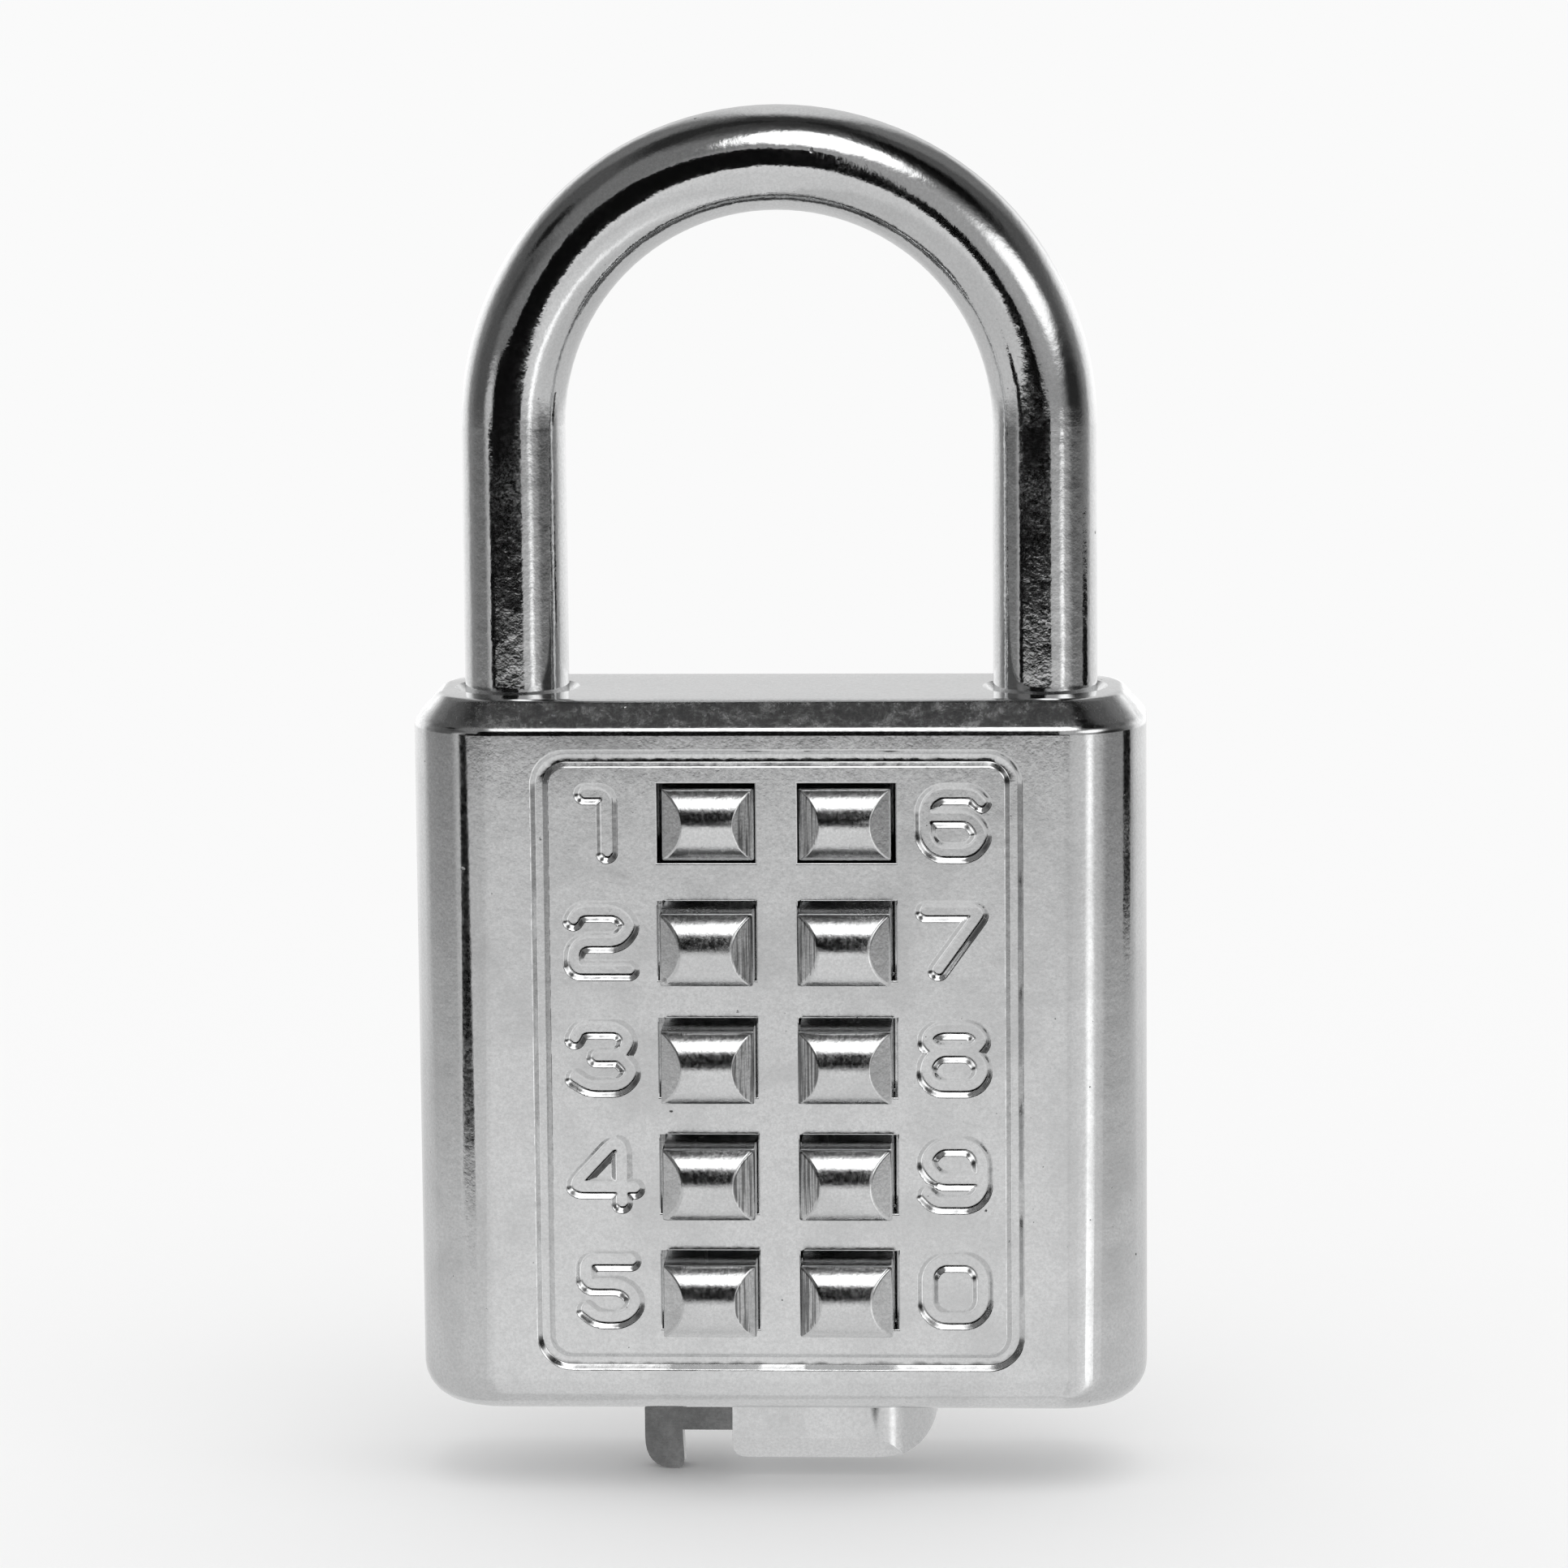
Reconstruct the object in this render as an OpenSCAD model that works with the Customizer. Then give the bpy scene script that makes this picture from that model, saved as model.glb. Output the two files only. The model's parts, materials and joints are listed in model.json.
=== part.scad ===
// Push-button combination padlock with ten sprung buttons, a lifting shackle and a thumb latch
// underneath. The origin is the inner top of the shackle's bow, where the lock hangs from a staple.
// +Z points up through the bow, the keypad faces -Y and +X is to the right of someone reading it.

/* [Case] */
// Width of the case
case_w = 42; // [40:0.5:48]
// Height of the case
case_h = 41.5; // [41:0.5:48]
// Thickness of the case, front to back
case_t = 13.2; // [13:0.1:16]
// Radius of the four upright edges
corner_r = 5; // [3:0.1:6]
// Height of the sloped edge round the top and the bottom
chamfer_h = 1.6; // [0.8:0.1:2]
// Depth of the sloped edge round the top and the bottom
chamfer_d = 1.45; // [0.8:0.05:1.8]
// Thickness of the wall behind the keypad
front_wall = 2.2; // [1.8:0.1:2.4]

/* [Shackle] */
// Diameter of the shackle rod
rod_d = 6; // [5:0.1:6]
// Distance between the middles of the two legs
leg_gap = 30.4; // [30:0.1:31]
// Clear height inside the bow, above the case
bow_clear = 27.4; // [20:0.1:60]
// How far the shackle lifts when the lock opens
lift = 10; // [9.8:0.1:10]
// Radial clearance of a leg in its bore
leg_clearance = 0.1; // [0.05:0.01:0.15]

/* [Keypad] */
// Distance between neighbouring rows of buttons
row_pitch = 6.79; // [6.5:0.01:6.8]
// Width of a button
button_w = 5.3; // [4.6:0.1:5.3]
// Height of a button
button_h = 4.2; // [3.6:0.1:4.2]
// How far a button's edge stands out of the case
button_proud = 2.4; // [1.5:0.1:2.5]
// How far a button travels
button_travel = 2.6; // [1:0.1:2.6]
// How far the buttons are pushed in at rest, in the order of button_names
pushed_in = [1, 0, 0, 0, 0, 1, 0, 0, 0, 0];
// Which buttons belong to the code, in the order of button_names
in_code = [1, 0, 1, 0, 0, 1, 0, 1, 0, 0];

/* [Latch] */
// How far the thumb latch slides
latch_travel = 2.4; // [1:0.1:2.5]
// How far the thumb piece hangs below the case
thumb_drop = 3.3; // [2.8:0.1:4]
// How far the hook hangs below the case
hook_drop = 4.6; // [3.5:0.1:5]

/* [Hidden] */
$fn = 64;
button_names = ["1", "2", "3", "4", "5", "6", "7", "8", "9", "0"];
keys = [0:len(button_names) - 1];
rows = 5;

// The case: everything below is measured down from its top face
half_w = case_w / 2;
half_t = case_t / 2;
edge_round = 0.3;
cover_t = 1.4;
cover_w = 31;
cover_top = -2.4;
cover_bottom = 2.2 - case_h;
cover_r = 2.2;
fit_gap = 0.05;
inner_front = front_wall - half_t;
inner_back = half_t - cover_t;
cavity_w = 18.4;
cavity_top = -4.2;
cavity_bottom = 3.5 - case_h;
ledge = 0.6;

// The shackle
leg_x = leg_gap / 2;
rod_r = rod_d / 2;
bore_r = rod_r + leg_clearance;
toe_depth = lift - 0.4;
toe_notch_top = -4.8;
notch_h = 2.4;
notch_depth = 1.7;
pin_r = 0.75;
neck_r = rod_r - 0.7;
pin_z = -14.8;
pin_x = -leg_x + neck_r + pin_r + 0.1;
neck_top = pin_z + pin_r + 0.1;
neck_bottom = pin_z - pin_r - lift - 0.1;
heel_depth = 2.6 - neck_bottom;
heel_bore = heel_depth + 4.3;
countersink = 0.5;

// The plates that the buttons' tails pass through
plate_half_t = 0.6;
guide_front = 0.9;
guide_t = 1;
tail_r = 1.3;
tail_clearance = 0.1;
slot_r = tail_r + 0.2;
tail_end = 1.5;

// The keypad
middle_row = 0.15 - case_h / 2;
button_x = 3.9;
opening_x = 4;
opening_rise = 0.1;
opening_w = button_w + 0.3;
opening_h = button_h + 0.4;
crown_r = 2.75;
crown_rise = crown_r - sqrt(pow(crown_r, 2) - pow(button_h / 2, 2));
bevel_w = 1.2;
flange_t = 0.8;
flange_w = opening_w + 1;
flange_h = opening_h + 0.5;

// The engraving: a frame round the keypad and a number beside each button
frame_w = 27;
frame_top = -3.2;
frame_bottom = 3.2 - case_h;
frame_r = 1.5;
engraving = 0.35;
engraving_w = 0.6;
number_x = 10.05;
number_half = [1.58, 1.7];

// The latch
bar_half_t = 0.8;
bolt_half_t = 0.8;
tab_left = 0;
tab_right = 6;
tab_top = -37.9;
bar_gap = 0.2;
bar_drop = 2.3;
hook_left = -8.3;
hook_w = 2.3;
thumb_left = -3;
thumb_r = 3.9;
thumb_middle = 4.9;
bolt_left = 8.3;
bolt_tip = leg_x - bore_r - 0.1;
bolt_h = notch_h - 0.4;
bolt_top = toe_notch_top - 0.2;

// The cover's screws and the springs
screw_x = 10.95;
screw_rows = [-9.5, 4.6 - case_h];
screw_r = 0.8;
screw_head_r = 1.8;
screw_depth = 3.6;
coil_wire = 0.25;
latch_spring_z = -34.6;
latch_spring_y = -0.4;
latch_spring_r = 1.3;
latch_spring_end = -15;

// Where the buttons are: the first five down the left column and the rest down the right
function side(i) = i < rows ? -1 : 1;
function row_z(i) = middle_row + row_pitch * ((rows - 1) / 2 - i % rows);

// A curve from a to b that leaves and arrives along the lines to p
function bend(a, p, b, steps = 4) =
    [for (i = [0:steps]) let (t = i / steps) a * pow(1 - t, 2) + p * 2 * t * (1 - t) + b * t * t];

// The sloped edge of the case as [inset from the side, depth below the top], from side to top
function sloped_edge() =
    let (
        side_corner = [0, chamfer_h],
        top_corner = [chamfer_d, 0],
        slope = (top_corner - side_corner) / norm(top_corner - side_corner)
    )
    concat(
        bend(side_corner + [0, edge_round], side_corner, side_corner + edge_round * slope),
        bend(top_corner - edge_round * slope, top_corner, top_corner + [edge_round, 0])
    );

// The right-hand outline of the case, from bottom to top, at a distance reach from the middle
function case_edge(reach) =
    let (edge = sloped_edge(), last = len(edge) - 1)
    concat(
        [for (i = [last:-1:0]) [reach - edge[i][0], edge[i][1] - case_h]],
        [for (p = edge) [reach - p[0], -p[1]]]
    );

function mirrored(outline) =
    [for (i = [len(outline) - 1:-1:0]) [-outline[i][0], outline[i][1]]];

// Turns a drawing in x and z into a plate that stands upright, from y = front to y = back
module upright(front, back) {
    translate([0, back, 0])
        rotate([90, 0, 0])
            linear_extrude(back - front) children();
}

// Puts its children in the case's own frame, whose zero is the case's top face
module in_case() {
    translate([0, 0, -bow_clear]) children();
}

module rounded_rectangle(w, h, r) {
    square([w - 2 * r, h], center = true);
    square([w, h - 2 * r], center = true);
    for (x = [-1, 1], z = [-1, 1])
        translate([x * (w / 2 - r), z * (h / 2 - r)]) circle(r);
}

// A rod from y = front to y = back
module rod_y(r, x, z, front, back) {
    translate([x, back, z])
        rotate([90, 0, 0]) cylinder(r = r, h = back - front);
}

// A coil along +Z: one closed tube that follows a helix
module coil(mean_r, wire, length, turns, sides = 6, steps = 12) {
    rings = turns * steps;
    climb = (length - wire) / rings;
    points = [
        for (i = [0:rings], j = [0:sides - 1])
            let (a = i * 360 / steps, b = j * 360 / sides, r = mean_r + wire / 2 * cos(b))
            [r * cos(a), r * sin(a), wire / 2 + i * climb + wire / 2 * sin(b)]
    ];
    walls = [
        for (i = [0:rings - 1], j = [0:sides - 1])
            let (k = (j + 1) % sides)
            [i * sides + j, (i + 1) * sides + j, (i + 1) * sides + k, i * sides + k]
    ];
    first = [for (j = [0:sides - 1]) j];
    last = [for (j = [sides - 1:-1:0]) rings * sides + j];
    polyhedron(points, concat([first], walls, [last]));
}

// ---- The case ----

module case_block() {
    for (x = [-1, 1], y = [-1, 1])
        translate([x * (half_w - corner_r), y * (half_t - corner_r), 0])
            rotate_extrude() polygon(concat(case_edge(corner_r), [[0, 0], [0, -case_h]]));
    upright(corner_r - half_t, half_t - corner_r)
        polygon(concat(case_edge(half_w), mirrored(case_edge(half_w))));
    rotate([0, 0, 90])
        upright(corner_r - half_w, half_w - corner_r)
            polygon(concat(case_edge(half_t), mirrored(case_edge(half_t))));
}

// The strokes of the number for a button, as lines on a grid from -1 to 1
function strokes(name) =
    name == "1" ? [[[-0.54, 1], [0.25, 1], [0.25, -1]]] :
    name == "2" ? [[
        [-1, 0.7], [-0.8, 1], [0.6, 1], [1, 0.65], [1, 0.35], [0.6, -0.05], [-0.7, -0.05], [-1, -0.35],
        [-1, -1], [1, -1]
    ]] :
    name == "3" ? [
        [[-1, 0.65], [-0.8, 1], [0.6, 1], [0.9, 0.7], [0.9, 0.4], [0.6, 0.02], [-0.2, 0.02]],
        [[0.6, 0.02], [1, -0.35], [1, -0.65], [0.6, -1], [-0.5, -1], [-1, -0.7]]
    ] :
    name == "4" ? [[[0.64, -1], [0.64, 1], [0.3, 1], [-1, -0.3], [-1, -0.5], [1.1, -0.5]]] :
    name == "5" ? [[
        [0.93, 1], [-0.7, 1], [-0.7, 0.15], [0.6, 0.15], [1.05, -0.2], [1.05, -0.65], [0.6, -1],
        [-0.3, -1], [-0.7, -0.7]
    ]] :
    name == "6" ? [[
        [1, 0.7], [0.7, 1], [-0.6, 1], [-1, 0.6], [-1, -0.55], [-0.6, -1], [0.6, -1], [1, -0.6],
        [1, -0.25], [0.6, 0.2], [-1, 0.2]
    ]] :
    name == "7" ? [[[-1, 1], [1, 1], [-0.55, -1]]] :
    name == "8" ? [
        [
            [-0.6, 0.2], [-0.95, 0.45], [-0.95, 0.75], [-0.6, 1], [0.6, 1], [0.95, 0.75], [0.95, 0.45],
            [0.6, 0.2], [-0.6, 0.2]
        ],
        [[-0.6, 0.2], [-1, -0.2], [-1, -0.65], [-0.65, -1], [0.65, -1], [1, -0.65], [1, -0.2], [0.6, 0.2]]
    ] :
    name == "9" ? [[for (p = strokes("6")[0]) -p]] :
    [[
        [-0.6, 1], [0.6, 1], [1, 0.6], [1, -0.6], [0.6, -1], [-0.6, -1], [-1, -0.6], [-1, 0.6], [-0.6, 1]
    ]];

// Every number, drawn as hairlines and then swollen to the width of a stroke
module numbers() {
    hairline = 0.02;
    offset(r = (engraving_w - hairline) / 2, $fn = 16)
        for (i = keys, stroke = strokes(button_names[i]), j = [0:len(stroke) - 2])
            let (
                a = [for (k = [0, 1]) stroke[j][k] * number_half[k]],
                b = [for (k = [0, 1]) stroke[j + 1][k] * number_half[k]]
            )
            translate([side(i) * number_x, row_z(i) + opening_rise] + a)
                rotate(atan2(b[1] - a[1], b[0] - a[0]))
                    translate([0, -hairline / 2]) square([norm(b - a), hairline]);
}

module keypad_frame() {
    h = frame_top - frame_bottom;
    translate([0, (frame_top + frame_bottom) / 2])
        difference() {
            rounded_rectangle(frame_w + engraving_w, h + engraving_w, frame_r + engraving_w / 2);
            rounded_rectangle(frame_w - engraving_w, h - engraving_w, frame_r - engraving_w / 2);
        }
}

module leg_bore(x, depth) {
    translate([x, 0, -depth]) cylinder(r = bore_r, h = depth + 1);
    translate([x, 0, -countersink]) cylinder(r1 = bore_r, r2 = bore_r + countersink, h = countersink);
}

module case_body() {
    color("silver") in_case() difference() {
        case_block();
        // The two rooms of the cavity, with a ledge between them for the guide plate
        translate([-cavity_w / 2, inner_front, cavity_bottom])
            cube([cavity_w, case_t, cavity_top - cavity_bottom]);
        translate([-cavity_w / 2 - ledge, guide_front, cavity_bottom - ledge])
            cube([cavity_w + 2 * ledge, case_t, cavity_top - cavity_bottom + 2 * ledge]);
        // The seat of the back cover
        upright(inner_back, half_t + 1)
            translate([0, (cover_top + cover_bottom) / 2])
                rounded_rectangle(
                    cover_w + 2 * fit_gap, cover_top - cover_bottom + 2 * fit_gap, cover_r + fit_gap
                );
        for (x = [-1, 1], z = screw_rows)
            rod_y(screw_r + 0.02, x * screw_x, z, inner_back - screw_depth - 0.3, half_t);
        // The bores of the two legs, the heel pin's hole and the bolt's window into the toe's bore
        leg_bore(-leg_x, heel_bore);
        leg_bore(leg_x, toe_depth + 0.6);
        rod_y(pin_r, pin_x, pin_z, -3.5, inner_back);
        translate([0, -bolt_half_t - 0.15, bolt_top - bolt_h - 0.15])
            cube([leg_x - 1, 2 * bolt_half_t + 0.3, bolt_h + 0.3]);
        translate([latch_spring_end - 0.05, latch_spring_y, latch_spring_z])
            rotate([0, 90, 0]) cylinder(r = latch_spring_r + 0.1, h = 8);
        // The slot for the latch
        translate([tab_left - latch_travel - 0.3, -bar_half_t - 0.15, -case_h - 1])
            cube([tab_right - tab_left + latch_travel + 0.6, 2 * bar_half_t + 0.3, 6]);
        // The keypad: openings, frame and numbers
        upright(-half_t - 1, inner_front + 0.1)
            for (i = keys)
                translate([side(i) * opening_x, row_z(i) + opening_rise])
                    square([opening_w, opening_h], center = true);
        upright(-half_t - 1, engraving - half_t) {
            keypad_frame();
            numbers();
        }
    }
}

module back_cover() {
    rib_x = 7.9;
    color("silver") in_case() difference() {
        union() {
            upright(inner_back, half_t)
                translate([0, (cover_top + cover_bottom) / 2])
                    rounded_rectangle(cover_w, cover_top - cover_bottom, cover_r);
            // Two ribs hold the guide plate against its ledge
            for (x = [-rib_x - 1, rib_x])
                translate([x, guide_front + guide_t, cavity_bottom + 1])
                    cube([1, inner_back - guide_front - guide_t + 0.1, cavity_top - cavity_bottom - 4]);
        }
        for (x = [-1, 1], z = screw_rows)
            translate([x * screw_x, half_t, z]) rotate([90, 0, 0]) {
                cylinder(r = screw_r + 0.2, h = 2 * cover_t);
                cylinder(r1 = screw_head_r + fit_gap, r2 = screw_r + fit_gap, h = screw_head_r - screw_r);
            }
    }
}

module cover_screws() {
    recess_w = 0.9;
    color("gainsboro") in_case() for (x = [-1, 1], z = screw_rows)
        translate([x * screw_x, half_t - 0.05, z]) rotate([90, 0, 0]) difference() {
            union() {
                cylinder(r = screw_r, h = cover_t + screw_depth);
                cylinder(r1 = screw_head_r, r2 = screw_r, h = screw_head_r - screw_r);
            }
            // A cross recess
            for (turn = [0, 90])
                rotate(turn)
                    translate([-recess_w, -0.18, -1]) cube([2 * recess_w, 0.36, 1.6]);
        }
}

// ---- The shackle and what holds it ----

module leg(x, depth) {
    tip = 0.6;
    translate([x, 0, -depth + tip]) cylinder(r = rod_r, h = bow_clear - leg_x + rod_r + depth - tip);
    translate([x, 0, -depth]) cylinder(r1 = rod_r - tip, r2 = rod_r, h = tip);
}

module shackle() {
    color("silver") in_case() difference() {
        union() {
            leg(-leg_x, heel_depth);
            leg(leg_x, toe_depth);
            translate([0, 0, bow_clear - leg_x + rod_r])
                rotate([90, 0, 0])
                    rotate_extrude(angle = 180) translate([leg_x, 0]) circle(rod_r);
        }
        // The notch that the bolt enters
        translate([leg_x - rod_r - 1, -rod_r - 1, toe_notch_top - notch_h])
            cube([notch_depth + 1, rod_d + 2, notch_h]);
        // The neck that the heel pin runs in
        translate([-leg_x, 0, neck_bottom])
            rotate_extrude()
                translate([neck_r, 0]) square([rod_r, neck_top - neck_bottom]);
    }
}

module shackle_spring() {
    color("darkgray") in_case()
        translate([-leg_x, 0, -heel_bore + 0.02])
            coil(mean_r = 2.3, wire = 0.5, length = heel_bore - heel_depth - 0.04, turns = 6, sides = 8);
}

module heel_pin() {
    color("darkgray") in_case() rod_y(pin_r - 0.01, pin_x, pin_z, -3.4, inner_back - 0.05);
}

// ---- The plates ----

module guide_plate() {
    rim = ledge - 0.1;
    color("darkkhaki") in_case() difference() {
        translate([-cavity_w / 2 - rim, guide_front, cavity_bottom - rim])
            cube([cavity_w + 2 * rim, guide_t, cavity_top - cavity_bottom + 2 * rim]);
        for (i = keys)
            rod_y(tail_r + tail_clearance, side(i) * button_x, row_z(i), 0, 3);
    }
}

module lock_plate() {
    plate_left = -button_x - slot_r - 0.5;
    plate_right = cavity_w / 2 - 0.3;
    color("darkkhaki") in_case() upright(-plate_half_t, plate_half_t) difference() {
        translate([plate_left, tab_top]) square([plate_right - plate_left, cavity_top - 0.2 - tab_top]);
        // A slot for each button's tail, as long as the latch travels
        for (i = keys) {
            translate([side(i) * button_x, row_z(i)]) circle(slot_r);
            translate([side(i) * button_x, row_z(i) - slot_r]) square([latch_travel, 2 * slot_r]);
            translate([side(i) * button_x + latch_travel, row_z(i)]) circle(slot_r);
        }
        // The seats of the latch bar's tenon and of the bolt
        translate([tab_left + 1.5, tab_top - 1]) square([3, 2]);
        translate([bolt_left, bolt_top - bolt_h]) square([3, bolt_h]);
    }
}

module locking_bolt() {
    color("goldenrod") in_case()
        translate([bolt_left, -bolt_half_t, bolt_top - bolt_h])
            cube([bolt_tip - bolt_left, 2 * bolt_half_t, bolt_h]);
}

// ---- The latch ----

// The bar that carries the latch's pull into the case and ends in a small hook under it
module latch_bar() {
    bar_top = -case_h - bar_gap;
    bar_bottom = -case_h - bar_drop;
    hook_right = hook_left + hook_w;
    tip = -case_h - hook_drop;
    color("dimgray") in_case() upright(-bar_half_t, bar_half_t) {
        translate([tab_left, bar_top - 0.1]) square([tab_right - tab_left, tab_top - bar_top + 0.1]);
        translate([tab_left + 1.5, tab_top - 0.1]) square([3, 1.1]);
        polygon(concat(
            [[hook_left, bar_top]],
            bend([hook_left, tip + 1.9], [hook_left, tip], [hook_left + 1.7, tip], 8),
            bend([hook_right - 0.4, tip], [hook_right, tip], [hook_right, tip + 0.5]),
            [[hook_right - 0.1, bar_bottom], [tab_right, bar_bottom], [tab_right, bar_top]]
        ));
    }
}

// The cast piece that the thumb pushes: square at the left, half round at the right
module thumb_piece() {
    top = -case_h - 0.15;
    bottom = -case_h - thumb_drop;
    right = thumb_middle + thumb_r;
    slope_top = bottom + 1.3;
    slope_in = 0.7;
    color("lightgray") in_case() difference() {
        intersection() {
            translate([0, 0, bottom - 1]) linear_extrude(thumb_drop + 1) {
                translate([thumb_left, -thumb_r]) square([thumb_middle - thumb_left, 2 * thumb_r]);
                translate([thumb_middle, 0]) circle(thumb_r);
            }
            upright(-thumb_r, thumb_r)
                polygon(concat(
                    [[thumb_left, top]],
                    bend([thumb_left, bottom + 0.8], [thumb_left, bottom], [thumb_left + 0.8, bottom]),
                    bend([thumb_middle, bottom], [right - 0.6, bottom], [right, top - 1], 10),
                    [[right, top]]
                ));
            rotate([0, 0, 90]) upright(-right, -thumb_left)
                polygon([
                    [-thumb_r, top], [-thumb_r, slope_top], [slope_in - thumb_r, bottom],
                    [thumb_r - slope_in, bottom], [thumb_r, slope_top], [thumb_r, top]
                ]);
        }
        // The seat of the latch bar
        translate([thumb_left - 1, -bar_half_t, -case_h - bar_drop])
            cube([tab_right - thumb_left + 1, 2 * bar_half_t, bar_drop + 1]);
    }
}

module latch_spring() {
    spring_right = -button_x - slot_r - 0.55;
    color("darkgray") in_case()
        translate([latch_spring_end, latch_spring_y, latch_spring_z])
            rotate([0, 90, 0])
                coil(mean_r = 1.05, wire = 0.3, length = spring_right - latch_spring_end, turns = 12);
}

// ---- The buttons ----

// How far into the case a button stands at rest
function rest_push(i) = pushed_in[i] * button_travel;

// A button in its own frame: x = 0 and z = 0 on its tail, y measured in the case with the button out
module button_shape(outward, coded) {
    edge = -half_t - button_proud;
    flange_front = inner_front + 0.05;
    half = button_w / 2;
    waist = coded ? -button_travel : 0;
    intersection() {
        // Seen from above: sloped ends
        translate([0, 0, -button_h / 2]) linear_extrude(button_h)
            polygon([
                [-half, edge], [bevel_w - half, edge - crown_rise], [half - bevel_w, edge - crown_rise],
                [half, edge], [half, flange_front], [-half, flange_front]
            ]);
        // Seen from the side: a round crown
        translate([-half, 0, 0]) rotate([90, 0, 90]) linear_extrude(button_w) {
            intersection() {
                translate([edge - crown_rise + crown_r, 0]) circle(crown_r);
                translate([edge - crown_rise, -button_h / 2]) square([crown_rise + 0.5, button_h]);
            }
            translate([edge, -button_h / 2]) square([flange_front - edge, button_h]);
        }
    }
    translate([outward * (opening_x - button_x) - flange_w / 2, flange_front, -flange_h / 2])
        cube([flange_w, flange_t, flange_h]);
    // The tail, with the narrow waist that lets the lock plate pass at the right depth
    difference() {
        rod_y(tail_r, 0, 0, flange_front + flange_t - 0.1, tail_end);
        rotate([-90, 0, 0]) rotate_extrude()
            translate([tail_r - 0.4, waist - plate_half_t - 0.2]) square([1, 2 * plate_half_t + 0.4]);
    }
}

module button(i) {
    color("silver") in_case()
        translate([side(i) * button_x, rest_push(i), row_z(i)]) button_shape(side(i), in_code[i] == 1);
}

module button_spring(i) {
    start = tail_end + rest_push(i) + 0.02;
    color("darkgray") in_case()
        translate([side(i) * button_x, start, row_z(i)])
            rotate([-90, 0, 0])
                coil(mean_r = 1, wire = coil_wire, length = inner_back - start - 0.02, turns = 3);
}

case_body();
back_cover();
cover_screws();
shackle();
shackle_spring();
heel_pin();
guide_plate();
lock_plate();
locking_bolt();
latch_bar();
thumb_piece();
latch_spring();
for (i = keys) {
    button(i);
    button_spring(i);
}
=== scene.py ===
"""Looks of the push-button combination padlock: worn bright chrome on cast zinc, on a pale floor."""

import json
import math

import bmesh
import bpy
import numpy as np
from mathutils import Matrix, Vector, noise

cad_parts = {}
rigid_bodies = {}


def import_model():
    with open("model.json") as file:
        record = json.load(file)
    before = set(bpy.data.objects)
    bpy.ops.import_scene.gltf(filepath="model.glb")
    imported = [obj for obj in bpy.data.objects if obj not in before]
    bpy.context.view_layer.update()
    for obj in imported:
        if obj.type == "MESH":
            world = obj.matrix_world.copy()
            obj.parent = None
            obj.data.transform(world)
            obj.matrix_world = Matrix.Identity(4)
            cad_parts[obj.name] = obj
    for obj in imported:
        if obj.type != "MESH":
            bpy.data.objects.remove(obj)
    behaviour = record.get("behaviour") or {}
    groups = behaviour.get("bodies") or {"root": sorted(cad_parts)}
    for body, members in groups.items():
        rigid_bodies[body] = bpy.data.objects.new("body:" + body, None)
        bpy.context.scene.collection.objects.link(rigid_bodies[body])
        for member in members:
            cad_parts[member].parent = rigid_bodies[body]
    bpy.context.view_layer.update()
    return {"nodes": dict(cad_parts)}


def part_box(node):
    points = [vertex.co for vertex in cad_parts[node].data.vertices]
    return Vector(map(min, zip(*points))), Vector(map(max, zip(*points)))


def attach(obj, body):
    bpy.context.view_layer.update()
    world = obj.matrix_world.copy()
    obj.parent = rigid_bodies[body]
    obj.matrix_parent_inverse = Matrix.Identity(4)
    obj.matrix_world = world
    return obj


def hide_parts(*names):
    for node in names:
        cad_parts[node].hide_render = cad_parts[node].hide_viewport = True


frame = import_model()
nodes = frame["nodes"]

for o in list(bpy.context.scene.objects):
    if o.type in ("CAMERA", "LIGHT") or o.name == "Cube":
        bpy.data.objects.remove(o)

MM = 0.001
case_low, case_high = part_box("case_body")
FACE_Y = case_low.y
CASE_TOP = case_high.z
CASE_H = case_high.z - case_low.z
NAMES = ["1", "2", "3", "4", "5", "6", "7", "8", "9", "0"]


# ---------------------------------------------------------------- node helpers


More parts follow.
